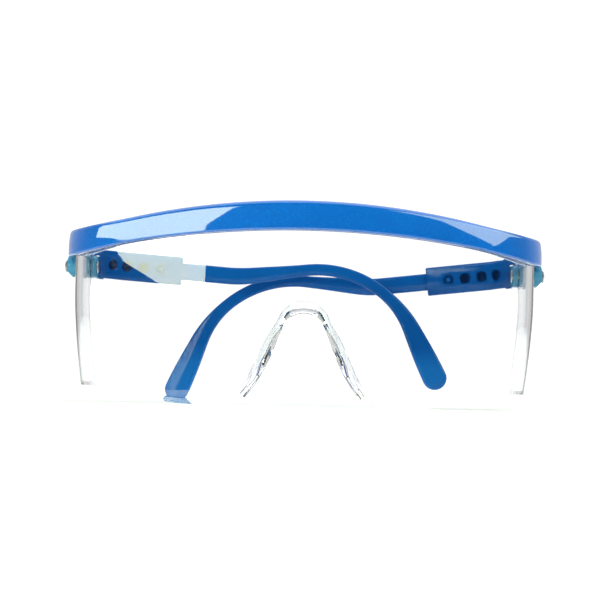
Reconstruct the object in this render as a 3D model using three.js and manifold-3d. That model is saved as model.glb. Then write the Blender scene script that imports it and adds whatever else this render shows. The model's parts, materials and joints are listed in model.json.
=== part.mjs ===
// Safety goggles: a one-piece wraparound lens under a brow bar, with two telescopic temples.
// Millimetres, +Z up, the lens faces -Y, and the wearer's right is at -X.
// The goggles stand upright on the lens's lower edge with both temples folded behind the lens.
import * as THREE from 'three';
import { mergeVertices } from 'three/addons/utils/BufferGeometryUtils.js';
import Module from 'manifold-3d';

const wasm = await Module();
wasm.setup();

// ---------- driving dimensions ----------
const GAP = 0.3; // clearance between pieces that touch or turn on each other
const DEPTH_OFFSET = -31.83; // moves the lens's front to put the origin mid-depth

const LENS_THICKNESS = 2.2;
const LENS_BRIDGE_RISE = 3.8; // how far the lens's top edge stands in the bar's groove
const FOOT_HALF_SPAN = 33; // the lens rests on the table out to here
const SIDE_BOTTOM_Z = 4.9; // lower edge of the side shields
const SHIELD_LEAN = 3.2; // the shields' lower edges stand this much further in
const LEAN_START_Z = 32;

const BAR_WALL = 1.6;
const BAR_CROWN = 0.4; // the bar's front face bulges by this much
const BAR_TOP_Z = 60.9;
const BAR_BOTTOM_Z = 52.1;
const BAR_END_TOP_Z = 51.9;
const BAR_END_BOTTOM_Z = 43.9;
const BAR_RELIEF = 1.2; // how far the bar's rear corners are cut up to clear the hinges
const BAR_ARCH_END = 50; // along the plan, where the arch starts to ease into the level ends
const BAR_END_DEPTH = 46; // the bar stops here, just ahead of the hinges

const NOSE_TOP_Z = 27.5;
const NOSE_WALL = 1.5;

const PIVOT_DEPTH = 48; // transverse rivet that lets each temple tilt
const PIVOT_Z = 42;
const PIVOT_RADIUS = 1.1;
const CHEEK_RADIUS = 3.4;
const CHEEK_THICKNESS = 2.4;

const PIN_DEPTH = 57.6; // hinge pin that each temple folds on
const PIN_Z = 43.7;
const PIN_INSET = 2.1; // pin axis, in from the lens ear's outer face
const PIN_RADIUS = 0.8;
const PIN_LENGTH = 9;
const KNUCKLE_RADIUS = 2.5;
const KNUCKLE_HALF_HEIGHT = 2.2;

const SLEEVE_END = 31; // measured along the temple from the hinge pin
const SLEEVE_START = 3.3;
const SLEEVE_HEIGHT = 9;
const SLEEVE_WIDTH = 5.2;
const COLLAR_HEIGHT = 9.8;
const COLLAR_END = 4.6;
const CHANNEL_START = 5.2;
const STOP_COUNT = 4;
const STOP_PITCH = 5.3;
const STOP_FIRST = 8.1;
const STOP_RADIUS = 1.7;
const GROOVE_DEPTH = 0.5;

const ARM_HEIGHT = 5.4;
const ARM_WIDTH = 2.4;
const ARM_TAIL = 21.5;
const ARM_STRAIGHT_END = 49.5;
const ARM_LIFT = 10.8; // degrees that the arm rises past its straight part
const ARM_LIFT_LENGTH = 21.2;
const ARM_BEND_RADIUS = 33;
const ARM_DROP = 60.3; // degrees that the ear piece hangs below level
const ARM_TIP_LENGTH = 20.7;
const ARM_INWARD_RADIUS = 242; // gentle curve towards the head
const ARM_WAIST = 3.7; // the arm's least height, over the ear bend
const PADDLE_HEIGHT = 7.6;
const NUB_HEIGHT = 0.6;

// Each folded temple hangs a little towards the middle, and the two nest one above the other.
const SIDES = {
  right: { side: 1, lean: 6.6, back: 6.5 },
  left: { side: -1, lean: 3.8, back: 2 },
};

// ---------- materials ----------
function plastic(color, roughness) {
  return new THREE.MeshStandardMaterial({ color, roughness, metalness: 0 });
}

const clear = new THREE.MeshStandardMaterial({
  color: '#eef6f9', roughness: 0.05, metalness: 0, transparent: true, opacity: 0.35,
});
const pearlBlue = new THREE.MeshStandardMaterial({ color: '#0f70bf', roughness: 0.22, metalness: 0.25 });
const blockBlue = plastic('#0b4d97', 0.3);
const sleeveBlue = plastic('#0d3c7c', 0.28);
const armBlue = plastic('#175b9e', 0.3);
const steel = new THREE.MeshStandardMaterial({ color: '#b9bec2', roughness: 0.3, metalness: 1 });

// ---------- helpers ----------
const radians = THREE.MathUtils.degToRad;
const smooth = (value, low, high) => THREE.MathUtils.smoothstep(value, low, high);

function weld(geometry) {
  const bare = geometry.index ? geometry.toNonIndexed() : geometry.clone();
  bare.deleteAttribute('normal');
  bare.deleteAttribute('uv');
  return mergeVertices(bare, 1e-4);
}

function signedVolume(geometry) {
  const { position } = geometry.attributes;
  const corners = geometry.index.array;
  const [a, b, c] = [new THREE.Vector3(), new THREE.Vector3(), new THREE.Vector3()];
  let volume = 0;
  for (let i = 0; i < corners.length; i += 3) {
    a.fromBufferAttribute(position, corners[i]);
    b.fromBufferAttribute(position, corners[i + 1]);
    c.fromBufferAttribute(position, corners[i + 2]);
    volume += a.dot(b.cross(c)) / 6;
  }
  return volume;
}

// Welds a closed geometry and turns its faces outwards.
function closed(geometry) {
  const welded = weld(geometry);
  if (signedVolume(welded) < 0) {
    welded.setIndex(Array.from(welded.index.array).reverse());
  }
  return welded;
}

function solid(geometry) {
  const welded = closed(geometry);
  const vertProperties = new Float32Array(welded.attributes.position.array);
  const triVerts = new Uint32Array(welded.index.array);
  return new wasm.Manifold(new wasm.Mesh({ numProp: 3, vertProperties, triVerts }));
}

function geometryOf(body) {
  const mesh = body.getMesh();
  const geometry = new THREE.BufferGeometry();
  geometry.setAttribute('position', new THREE.BufferAttribute(new Float32Array(mesh.vertProperties), 3));
  geometry.setIndex(new THREE.BufferAttribute(new Uint32Array(mesh.triVerts), 1));
  return geometry;
}

function box(x0, x1, y0, y1, z0, z1) {
  const block = new THREE.BoxGeometry(Math.abs(x1 - x0), Math.abs(y1 - y0), Math.abs(z1 - z0));
  block.translate((x0 + x1) / 2, (y0 + y1) / 2, (z0 + z1) / 2);
  return block;
}

function rod(from, to, radius, segments = 24) {
  const start = new THREE.Vector3(...from);
  const run = new THREE.Vector3(...to).sub(start);
  const cylinder = new THREE.CylinderGeometry(radius, radius, run.length(), segments);
  const turn = new THREE.Quaternion().setFromUnitVectors(new THREE.Vector3(0, 1, 0), run.clone().normalize());
  cylinder.applyQuaternion(turn);
  return cylinder.translate(...start.addScaledVector(run, 0.5).toArray());
}

// Skins a row of matching closed outlines. `flat` is the first outline in 2-D, for the end caps.
function loft(sections, flat) {
  const count = flat.length;
  const faces = THREE.ShapeUtils.triangulateShape(flat, []);
  const index = [];
  for (let i = 0; i + 1 < sections.length; i += 1) {
    for (let j = 0; j < count; j += 1) {
      const a = i * count + j;
      const b = i * count + ((j + 1) % count);
      index.push(a, b, a + count, b, b + count, a + count);
    }
  }
  const last = (sections.length - 1) * count;
  const clockwise = THREE.ShapeUtils.isClockWise(flat);
  for (const [a, b, c] of faces) {
    const follows = THREE.ShapeUtils.isClockWise([flat[a], flat[b], flat[c]]) === clockwise;
    const [p, q, r] = follows ? [a, b, c] : [a, c, b];
    index.push(p, r, q, last + p, last + q, last + r);
  }
  const geometry = new THREE.BufferGeometry();
  const points = sections.flat().flatMap((point) => point.toArray());
  geometry.setAttribute('position', new THREE.Float32BufferAttribute(points, 3));
  geometry.setIndex(index);
  return geometry;
}

// ---------- plan of the lens: a line walked from the middle of the brow back to the ear ----------
// Each run is its length, how far it turns towards the back, and its steps.
const WRAP_RUNS = [
  { length: 56.3, turn: 10.8, steps: 9 },
  { length: 21.6, turn: 72.7, steps: 9 },
  { length: 19, turn: 0, steps: 3 },
  { length: 3, turn: 6.5, steps: 2 },
  { length: 1.5, turn: 0, steps: 1 },
  { length: 2.54, turn: 0, steps: 1 },
  { length: 9.2, turn: 0, steps: 2 },
];

function walkWrap() {
  const stations = [{ x: 0, y: 0, heading: 0, along: 0 }];
  for (const run of WRAP_RUNS) {
    for (let i = 0; i < run.steps; i += 1) {
      const last = stations.at(-1);
      const turn = radians(run.turn) / run.steps;
      const stride = run.length / run.steps;
      const middle = last.heading + turn / 2;
      stations.push({
        x: last.x + stride * Math.cos(middle),
        y: last.y + stride * Math.sin(middle),
        heading: last.heading + turn,
        along: last.along + stride,
      });
    }
  }
  return stations;
}

const halfWrap = walkWrap();
const mirrored = halfWrap.slice(1).reverse().map((s) => ({ ...s, x: -s.x, heading: -s.heading }));
const wrap = [...mirrored, ...halfWrap];
const EAR_OUT = halfWrap.at(-1).x; // outer face of the lens's ears
const EAR_IN = EAR_OUT - LENS_THICKNESS;

// A point `out` beyond the lens's outer face, at a station of the plan.
function offWrap(station, out, z) {
  const side = Math.sign(station.x);
  const normal = new THREE.Vector2(Math.sin(station.heading), -Math.cos(station.heading));
  if (side < 0) normal.x = Math.sin(station.heading);
  return new THREE.Vector3(station.x + normal.x * out, station.y + normal.y * out, z);
}

// Height of a bar edge: an arch over the eyes that eases into a level end.
// `share` is how much of the drop from the middle to the end the arch itself makes.
function browHeight(along, middle, end, share, ease) {
  const sag = (end - middle) * share;
  if (along <= BAR_ARCH_END) return middle + sag * (along / BAR_ARCH_END) ** 2;
  const t = Math.min((along - BAR_ARCH_END) / ease, 1);
  const slope = ((2 * sag) / BAR_ARCH_END) * ease;
  const fromArch = (2 * t ** 3 - 3 * t ** 2 + 1) * (middle + sag) + (t ** 3 - 2 * t ** 2 + t) * slope;
  return fromArch + (3 * t ** 2 - 2 * t ** 3) * end;
}

const barTop = (along) => browHeight(along, BAR_TOP_Z, BAR_END_TOP_Z, 0.594, 25);
const barBottom = (along) => browHeight(along, BAR_BOTTOM_Z, BAR_END_BOTTOM_Z, 0.5, 24);

// ---------- lens ----------
function lensPoint(station, out, z) {
  const point = offWrap(station, out, z);
  const drop = THREE.MathUtils.clamp((LEAN_START_Z - z) / LEAN_START_Z, 0, 1);
  point.x -= Math.sign(station.x) * SHIELD_LEAN * drop ** 1.5 * smooth(station.along, 48, 80);
  return point;
}

function lensPanel() {
  const rows = 5;
  const sections = wrap.map((station) => {
    const bottom = SIDE_BOTTOM_Z * smooth(station.along, FOOT_HALF_SPAN, 68);
    const top = barBottom(station.along) + LENS_BRIDGE_RISE;
    const heights = Array.from({ length: rows }, (_, i) => bottom + ((top - bottom) * i) / (rows - 1));
    const outer = heights.map((z) => lensPoint(station, 0, z));
    const inner = heights.map((z) => lensPoint(station, -LENS_THICKNESS, z));
    return [...outer, ...inner.reverse()];
  });
  const flat = sections[0].map((point) => new THREE.Vector2(point.x, point.z));
  return loft(sections, flat);
}

// What is trimmed from each side shield: all that lies behind the ear and the shield's rear edge.
function shieldTrim() {
  const earRadius = CHEEK_RADIUS + GAP;
  const shape = new THREE.Shape();
  shape.moveTo(BAR_END_DEPTH - GAP, 70);
  shape.lineTo(BAR_END_DEPTH - GAP, PIVOT_Z + earRadius);
  shape.lineTo(PIVOT_DEPTH, PIVOT_Z + earRadius);
  shape.absarc(PIVOT_DEPTH, PIVOT_Z, earRadius, Math.PI / 2, -Math.PI / 2, true);
  shape.quadraticCurveTo(46.4, PIVOT_Z - earRadius, 46.2, 35);
  shape.lineTo(45, 16);
  shape.quadraticCurveTo(44, 6, 36, 3);
  shape.lineTo(36, -5);
  shape.lineTo(70, -5);
  shape.lineTo(70, 70);
  const span = 200;
  const prism = new THREE.ExtrudeGeometry(shape, { depth: span, bevelEnabled: false, curveSegments: 12 });
  // the outline is drawn in depth and height, so its plane is turned to face along X
  prism.applyMatrix4(new THREE.Matrix4().set(0, 0, 1, -span / 2, 1, 0, 0, 0, 0, 1, 0, 0, 0, 0, 0, 1));
  return prism;
}

// Half of the nose opening, from its crown down to the foot.
const noseLine = new THREE.SplineCurve([
  new THREE.Vector2(0, NOSE_TOP_Z),
  new THREE.Vector2(4.4, 25.8),
  new THREE.Vector2(6.9, 21.5),
  new THREE.Vector2(9.6, 14.5),
  new THREE.Vector2(13.2, 7.4),
  new THREE.Vector2(17, 2.2),
]);

function noseStations() {
  const steps = 15;
  const half = Array.from({ length: steps + 1 }, (_, i) => {
    const share = i / steps;
    const point = noseLine.getPointAt(share);
    const tangent = i === 0 ? new THREE.Vector2(1, 0) : noseLine.getTangentAt(share);
    return { point, normal: new THREE.Vector2(-tangent.y, tangent.x), share };
  });
  const other = half.slice(1).reverse().map(({ point, normal, share }) => ({
    point: new THREE.Vector2(-point.x, point.y),
    normal: new THREE.Vector2(-normal.x, normal.y),
    share,
  }));
  return [...other, ...half];
}

function noseCut() {
  const inset = NOSE_WALL / 2;
  const edge = noseStations().map(({ point, normal }) => point.clone().addScaledVector(normal, inset));
  const shape = new THREE.Shape([new THREE.Vector2(-19, -5), ...edge, new THREE.Vector2(19, -5)]);
  const prism = new THREE.ExtrudeGeometry(shape, { depth: 20, bevelEnabled: false });
  return prism.rotateX(Math.PI / 2).translate(0, 15, 0);
}

// The moulded nose piece: a wall round the opening that flares towards the wearer, wider at the pads.
function nosePiece() {
  const frontY = 0.25;
  const sections = noseStations().map(({ point, normal, share }) => {
    const pad = smooth(share, 0.28, 0.42);
    const flare = 2.6 - 1.6 * smooth(share, 0.02, 0.25) + 1.3 * pad - 0.8 * smooth(share, 0.6, 1);
    const depth = 6 + 3.4 * pad - 3 * smooth(share, 0.7, 1);
    const corner = (out, y) => {
      const place = point.clone().addScaledVector(normal, out);
      return new THREE.Vector3(place.x, y, place.y);
    };
    return [
      corner(0, frontY),
      corner(flare * 0.35, frontY + depth * 0.5),
      corner(flare, frontY + depth),
      corner(flare + NOSE_WALL * 0.5, frontY + depth + 0.4),
      corner(flare + NOSE_WALL, frontY + depth - 0.1),
      corner(flare * 0.35 + NOSE_WALL, frontY + depth * 0.5),
      corner(NOSE_WALL, frontY),
    ];
  });
  const flat = sections[0].map((point) => new THREE.Vector2(point.x, point.y));
  return loft(sections, flat);
}

function lens() {
  const pivotHole = rod([-90, PIVOT_DEPTH, PIVOT_Z], [90, PIVOT_DEPTH, PIVOT_Z], PIVOT_RADIUS + GAP);
  const body = solid(lensPanel())
    .subtract(solid(shieldTrim()))
    .subtract(solid(noseCut()))
    .subtract(solid(pivotHole))
    .add(solid(nosePiece()));
  return geometryOf(body);
}

// ---------- brow bar ----------
function browBar() {
  const stations = wrap.filter((station) => station.y <= BAR_END_DEPTH + 0.1);
  const front = GAP + BAR_WALL;
  const back = -LENS_THICKNESS - GAP - BAR_WALL;
  const sections = stations.map((station) => {
    const top = barTop(station.along);
    const bottom = barBottom(station.along);
    const roof = bottom + LENS_BRIDGE_RISE + GAP;
    const foot = bottom + BAR_RELIEF * smooth(station.y, 40, 43.4);
    const outline = [
      [front - 0.3, foot],
      [front + BAR_CROWN * 0.7, bottom + 1.6],
      [front + BAR_CROWN, (top + bottom) / 2],
      [front + BAR_CROWN * 0.4, top - 2],
      [front - 0.5, top - 0.7],
      [front - 1.5, top],
      [back + 1.3, top],
      [back, top - 1],
      [back, foot],
      [-LENS_THICKNESS - GAP, foot],
      [-LENS_THICKNESS - GAP, roof],
      [GAP, roof],
      [GAP, foot],
    ];
    return outline.map(([out, z]) => offWrap(station, out, z));
  });
  const flat = sections[0].map((point) => new THREE.Vector2(point.x, point.z));
  return closed(loft(sections, flat));
}

// ---------- hinge: drawn on the +X side, mirrored for the other ----------
function mirrorTo(side, geometry) {
  return side > 0 ? geometry : closed(geometry.applyMatrix4(new THREE.Matrix4().makeScale(-1, 1, 1)));
}

// The pin's direction: its top leans towards the middle of the goggles.
function pinAxis(lean) {
  return new THREE.Vector3(-Math.sin(radians(lean)), 0, Math.cos(radians(lean)));
}

function alongPin(lean, height) {
  const middle = new THREE.Vector3(EAR_OUT - PIN_INSET, PIN_DEPTH, PIN_Z);
  return pinAxis(lean).multiplyScalar(height).add(middle).toArray();
}

// A fork that straddles the lens's ear, with the hinge's middle knuckle behind it.
function hingeBlock({ side, lean }) {
  const outer = [EAR_OUT + GAP, EAR_OUT + GAP + CHEEK_THICKNESS];
  const inner = [EAR_IN - GAP - CHEEK_THICKNESS + 0.2, EAR_IN - GAP];
  const earRear = PIVOT_DEPTH + CHEEK_RADIUS + GAP;
  const webRear = PIN_DEPTH - KNUCKLE_RADIUS - 0.4;
  const low = PIVOT_Z - CHEEK_RADIUS;
  const high = PIVOT_Z + CHEEK_RADIUS;
  let body = solid(box(inner[0], outer[1], earRear + 2 * GAP, webRear, low, high));
  for (const [x0, x1] of [outer, inner]) {
    body = body.add(solid(rod([x0, PIVOT_DEPTH, PIVOT_Z], [x1, PIVOT_DEPTH, PIVOT_Z], CHEEK_RADIUS, 32)));
    body = body.add(solid(box(x0, x1, PIVOT_DEPTH, webRear, low, high)));
  }
  const pinX = EAR_OUT - PIN_INSET;
  const reach = KNUCKLE_HALF_HEIGHT;
  const bridgeHalf = reach - 0.6;
  const bridge = box(pinX - 1.9, pinX + 1.9, webRear - 1, PIN_DEPTH, PIN_Z - bridgeHalf, PIN_Z + bridgeHalf);
  body = body.add(solid(bridge));
  body = body.add(solid(rod(alongPin(lean, -reach), alongPin(lean, reach), KNUCKLE_RADIUS, 32)));
  body = body.subtract(solid(rod(alongPin(lean, -8), alongPin(lean, 8), PIN_RADIUS + GAP)));
  const bore = rod([40, PIVOT_DEPTH, PIVOT_Z], [90, PIVOT_DEPTH, PIVOT_Z], PIVOT_RADIUS + GAP);
  return mirrorTo(side, geometryOf(body.subtract(solid(bore))));
}

// A rivet through both cheeks and the lens's ear.
function tiltPivot({ side }) {
  const headRadius = 2;
  const headHeight = 0.7;
  const inside = EAR_IN - GAP - CHEEK_THICKNESS + 0.2 - GAP;
  const outside = EAR_OUT + GAP + CHEEK_THICKNESS + GAP;
  const profile = [
    [0, inside - headHeight],
    [headRadius - 0.4, inside - headHeight],
    [headRadius, inside],
    [PIVOT_RADIUS, inside],
    [PIVOT_RADIUS, outside],
    [headRadius, outside],
    [headRadius - 0.4, outside + headHeight],
    [0, outside + headHeight],
  ].map(([radius, x]) => new THREE.Vector2(radius, x));
  const rivet = new THREE.LatheGeometry(profile, 24).rotateZ(-Math.PI / 2);
  return mirrorTo(side, closed(rivet.translate(0, PIVOT_DEPTH, PIVOT_Z)));
}

function hingePin({ side, lean }) {
  const half = PIN_LENGTH / 2;
  return mirrorTo(side, closed(rod(alongPin(lean, -half), alongPin(lean, half), PIN_RADIUS)));
}

// ---------- temple, in its own frame: +X from the pin towards the tip, +Z along the pin ----------
// `inner` is +1 or -1: the sense of Y that faces the wearer's head.
function roundedBar(x0, x1, width, height, radius) {
  const shape = new THREE.Shape();
  const [w, h, r] = [width / 2, height / 2, radius];
  shape.absarc(w - r, h - r, r, 0, Math.PI / 2);
  shape.absarc(-w + r, h - r, r, Math.PI / 2, Math.PI);
  shape.absarc(-w + r, -h + r, r, Math.PI, Math.PI * 1.5);
  shape.absarc(w - r, -h + r, r, Math.PI * 1.5, Math.PI * 2);
  const bar = new THREE.ExtrudeGeometry(shape, { depth: x1 - x0, bevelEnabled: false, curveSegments: 4 });
  bar.applyMatrix4(new THREE.Matrix4().set(0, 0, 1, x0, 1, 0, 0, 0, 0, 1, 0, 0, 0, 0, 0, 1));
  return bar;
}

const stopPlaces = Array.from({ length: STOP_COUNT }, (_, i) => STOP_FIRST + i * STOP_PITCH);

function sleeve(inner) {
  const w = SLEEVE_WIDTH / 2;
  const half = COLLAR_HEIGHT / 2;
  const channelHalfWidth = ARM_WIDTH / 2 + GAP;
  const channelHalfHeight = ARM_HEIGHT / 2 + GAP;
  let body = solid(roundedBar(SLEEVE_START, SLEEVE_END, SLEEVE_WIDTH, SLEEVE_HEIGHT, 0.9));
  body = body.add(solid(roundedBar(SLEEVE_START, COLLAR_END, SLEEVE_WIDTH, COLLAR_HEIGHT, 0.9)));
  body = body.add(solid(box(0, SLEEVE_START + 0.5, -KNUCKLE_RADIUS, KNUCKLE_RADIUS, -half, half)));
  body = body.add(solid(rod([0, 0, -half], [0, 0, half], KNUCKLE_RADIUS, 32)));
  const slot = KNUCKLE_HALF_HEIGHT + GAP;
  body = body.subtract(solid(box(-5, SLEEVE_START, -w - 1, w + 1, -slot, slot)));
  body = body.subtract(solid(rod([0, 0, -9], [0, 0, 9], PIN_RADIUS + GAP)));
  body = body.subtract(solid(box(
    CHANNEL_START, SLEEVE_END + 5, -channelHalfWidth, channelHalfWidth, -channelHalfHeight, channelHalfHeight,
  )));
  const wall = inner * channelHalfWidth;
  const grooveWall = inner * (channelHalfWidth + GROOVE_DEPTH);
  const groove = box(CHANNEL_START, SLEEVE_END + 5, wall - inner, grooveWall, -STOP_RADIUS, STOP_RADIUS);
  body = body.subtract(solid(groove));
  for (const place of stopPlaces) {
    body = body.subtract(solid(rod([place, wall, 0], [place, inner * (w + 1), 0], STOP_RADIUS)));
  }
  return geometryOf(body);
}

// The arm's middle line: straight, a slight rise, a bend round the ear, and a straight tip.
function armLine() {
  const line = [];
  const push = (length, turn, steps) => {
    for (let i = 0; i < steps; i += 1) {
      const last = line.at(-1);
      const middle = last.heading + radians(turn) / steps / 2;
      const stride = length / steps;
      line.push({
        x: last.x + stride * Math.cos(middle),
        z: last.z + stride * Math.sin(middle),
        heading: last.heading + radians(turn) / steps,
        along: last.along + stride,
      });
    }
  };
  line.push({ x: ARM_TAIL, z: 0, heading: 0, along: ARM_TAIL });
  push(ARM_STRAIGHT_END - 4 - ARM_TAIL, 0, 3);
  push(8, ARM_LIFT, 3);
  push(ARM_LIFT_LENGTH - 4, 0, 3);
  push(ARM_BEND_RADIUS * radians(ARM_LIFT + ARM_DROP), -(ARM_LIFT + ARM_DROP), 14);
  push(ARM_TIP_LENGTH - PADDLE_HEIGHT / 2, 0, 5);
  const tipSteps = 5;
  const heading = line.at(-1).heading;
  const start = line.at(-1);
  for (let i = 1; i <= tipSteps; i += 1) {
    const reach = (PADDLE_HEIGHT / 2) * Math.sin((Math.PI / 2) * (i / tipSteps)) * 0.985;
    line.push({
      x: start.x + reach * Math.cos(heading),
      z: start.z + reach * Math.sin(heading),
      heading,
      along: start.along + reach,
      tip: Math.cos(Math.asin(Math.min(reach / (PADDLE_HEIGHT / 2), 1))),
    });
  }
  return line;
}

function armHeightAt(along) {
  const slim = smooth(along, ARM_STRAIGHT_END - 2, 72);
  const widen = smooth(along, 96, 128);
  return ARM_HEIGHT + (ARM_WAIST - ARM_HEIGHT) * slim + (PADDLE_HEIGHT - ARM_WAIST) * widen;
}

function armBlade(inner) {
  const sections = armLine().map((station) => {
    const tip = station.tip ?? 1;
    const half = (armHeightAt(station.along) / 2) * tip;
    const w = (ARM_WIDTH / 2) * (0.45 + 0.55 * tip);
    const edge = Math.min(0.5, half * 0.5);
    const past = Math.max(station.x - ARM_STRAIGHT_END, 0);
    const inward = past ** 2 / (2 * ARM_INWARD_RADIUS);
    const outline = [
      [w, half - edge], [w - 0.4, half], [-w + 0.4, half], [-w, half - edge],
      [-w, -half + edge], [-w + 0.4, -half], [w - 0.4, -half], [w, -half + edge],
    ];
    return outline.map(([y, up]) => new THREE.Vector3(
      station.x - up * Math.sin(station.heading),
      inner * (y + inward),
      station.z + up * Math.cos(station.heading),
    ));
  });
  const flat = sections[0].map((point) => new THREE.Vector2(point.y, point.z));
  return loft(sections, flat);
}

// The nub that clicks into the sleeve's holes stands just clear of the groove's floor.
function arm(inner) {
  const face = inner * (ARM_WIDTH / 2);
  const nub = new THREE.CylinderGeometry(STOP_RADIUS - 2 * GAP, STOP_RADIUS - GAP, NUB_HEIGHT + 0.5, 20);
  if (inner < 0) nub.rotateX(Math.PI);
  nub.translate(stopPlaces.at(-1), face + (inner * (NUB_HEIGHT - 0.5)) / 2, 0);
  return geometryOf(solid(armBlade(inner)).add(solid(nub)));
}

// ---------- assembly ----------
const goggles = new THREE.Group();
const front = new THREE.Group();
front.position.y = DEPTH_OFFSET;
goggles.add(front);

function place(parent, name, geometry, material) {
  const mesh = new THREE.Mesh(geometry, material);
  mesh.name = name;
  parent.add(mesh);
}

// The frame that a folded temple is drawn in, at its hinge pin.
function templeFrame({ side, lean, back }) {
  const up = pinAxis(lean);
  up.x *= side;
  const level = new THREE.Vector3(-side * Math.cos(radians(lean)), 0, -Math.sin(radians(lean)));
  const run = level.multiplyScalar(Math.cos(radians(back)));
  run.y = Math.sin(radians(back));
  const across = new THREE.Vector3().crossVectors(up, run);
  const frame = new THREE.Group();
  frame.setRotationFromMatrix(new THREE.Matrix4().makeBasis(run, across, up));
  frame.position.set(side * (EAR_OUT - PIN_INSET), PIN_DEPTH, PIN_Z);
  return frame;
}

place(front, 'lens', lens(), clear);
place(front, 'brow_bar', browBar(), pearlBlue);

for (const [name, set] of Object.entries(SIDES)) {
  place(front, `${name}_hinge_block`, hingeBlock(set), blockBlue);
  place(front, `${name}_tilt_pivot`, tiltPivot(set), steel);
  place(front, `${name}_hinge_pin`, hingePin(set), steel);
  const temple = templeFrame(set);
  front.add(temple);
  place(temple, `${name}_sleeve`, sleeve(set.side), sleeveBlue);
  place(temple, `${name}_arm`, arm(set.side), armBlue);
}

export default goggles;
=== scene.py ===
"""Safety goggles: fine meshes, materials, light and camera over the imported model."""
import json
import math

import bmesh
import bpy
import numpy as np
from mathutils import Matrix, Vector


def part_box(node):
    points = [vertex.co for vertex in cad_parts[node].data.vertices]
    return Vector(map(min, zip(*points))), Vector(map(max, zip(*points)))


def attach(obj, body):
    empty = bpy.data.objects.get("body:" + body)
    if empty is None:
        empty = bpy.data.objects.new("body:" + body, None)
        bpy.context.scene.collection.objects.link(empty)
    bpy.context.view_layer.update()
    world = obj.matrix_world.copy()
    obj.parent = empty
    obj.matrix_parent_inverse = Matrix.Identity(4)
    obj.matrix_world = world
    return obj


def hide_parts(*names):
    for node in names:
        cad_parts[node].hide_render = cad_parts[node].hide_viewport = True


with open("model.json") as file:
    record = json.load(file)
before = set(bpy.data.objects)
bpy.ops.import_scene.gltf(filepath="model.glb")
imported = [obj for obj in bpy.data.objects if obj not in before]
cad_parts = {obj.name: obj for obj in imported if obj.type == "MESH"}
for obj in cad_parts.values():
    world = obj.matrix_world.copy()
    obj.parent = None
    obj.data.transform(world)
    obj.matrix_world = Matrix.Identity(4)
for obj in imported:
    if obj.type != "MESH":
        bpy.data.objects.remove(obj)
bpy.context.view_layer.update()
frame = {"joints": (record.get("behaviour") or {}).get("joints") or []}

# ---------- driving dimensions, in millimetres ----------
MM = 0.001
FRONT_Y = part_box("lens")[0][1] / MM  # the lens's foremost line
LENS_THICKNESS = 2.2
LENS_RISE = 3.8
FOOT_SPAN = 33
SIDE_BOTTOM = 4.9
SHIELD_LEAN = 3.2
LEAN_START = 32
GAP = 0.3
BAR_WALL = 1.6
BAR_CROWN = 0.4
BAR_TOP = 60.9
BAR_BOTTOM = 52.1
BAR_END_TOP = 51.9
BAR_END_BOTTOM = 43.9
BAR_RELIEF = 1.2
BAR_ARCH = 50
BAR_DEPTH = 46
NOSE_TOP = 27.5
NOSE_WALL = 1.5
PIVOT_DEPTH = 48
PIVOT_Z = 42
CHEEK_RADIUS = 3.4
CHEEK_THICKNESS = 2.4
RIVET_RADIUS = 1.1
RIVET_BORE = 1.4
PIN_BORE = 1.1
PIN_DEPTH = 57.6
PIN_Z = 43.7
PIN_INSET = 2.1
KNUCKLE_RADIUS = 2.5
KNUCKLE_HALF = 2.2
SLEEVE_START = 3.3
SLEEVE_END = 31
SLEEVE_HEIGHT = 9
SLEEVE_WIDTH = 5.2
COLLAR_HEIGHT = 9.8
COLLAR_END = 4.6
CHANNEL_START = 5.2
STOPS = [8.1 + 5.3 * i for i in range(4)]
STOP_RADIUS = 1.7
ARM_HEIGHT = 5.4
ARM_WIDTH = 2.4
ARM_TAIL = 21.5
ARM_STRAIGHT = 49.5
ARM_LIFT = 10.8
ARM_LIFT_LENGTH = 21.2
ARM_BEND_RADIUS = 33
ARM_DROP = 60.3
ARM_TIP = 20.7
ARM_CURVE = 242
ARM_WAIST = 3.7
PADDLE = 7.6

# ---------- small helpers ----------


def smooth(value, low, high):
    t = np.clip((value - low) / (high - low), 0, 1)
    return t * t * (3 - 2 * t)


def full_turn(steps):
    """The angles of evenly spaced points round a circle."""
    return np.linspace(0, 2 * math.pi, steps + 1)[:-1]


def piece(name, verts, faces, matrix=None):
    """A mesh object from points in millimetres, placed by a matrix that is in millimetres too."""
    points = [Vector(v) for v in verts]
    if matrix is not None:
        points = [matrix @ p for p in points]
    mesh = bpy.data.meshes.new(name)
    mesh.from_pydata([p * MM for p in points], [], faces)
    obj = bpy.data.objects.new(name, mesh)
    bpy.context.scene.collection.objects.link(obj)
    tidy(obj)
    return obj


def tidy(obj, merge=0.002):
    """Welds doubled points and turns the faces outwards."""
    work = bmesh.new()
    work.from_mesh(obj.data)
    bmesh.ops.remove_doubles(work, verts=work.verts, dist=merge * MM)
    bmesh.ops.dissolve_degenerate(work, edges=work.edges, dist=merge * MM)
    bmesh.ops.recalc_face_normals(work, faces=work.faces)
    if work.calc_volume(signed=True) < 0:
        bmesh.ops.reverse_faces(work, faces=work.faces)
    work.to_mesh(obj.data)
    work.free()


def bake(obj):
    """Applies an object's modifiers to its mesh."""
    graph = bpy.context.evaluated_depsgraph_get()
    mesh = bpy.data.meshes.new_from_object(obj.evaluated_get(graph))
    obj.modifiers.clear()
    obj.data = mesh
    return obj


def combine(obj, other, operation):
    """Joins or cuts with another piece, which is used up."""
    cut = obj.modifiers.new(operation, "BOOLEAN")
    cut.operation = operation
    cut.solver = "EXACT"
    cut.object = other
    bake(obj)
    bpy.data.objects.remove(other)
    return obj


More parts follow.
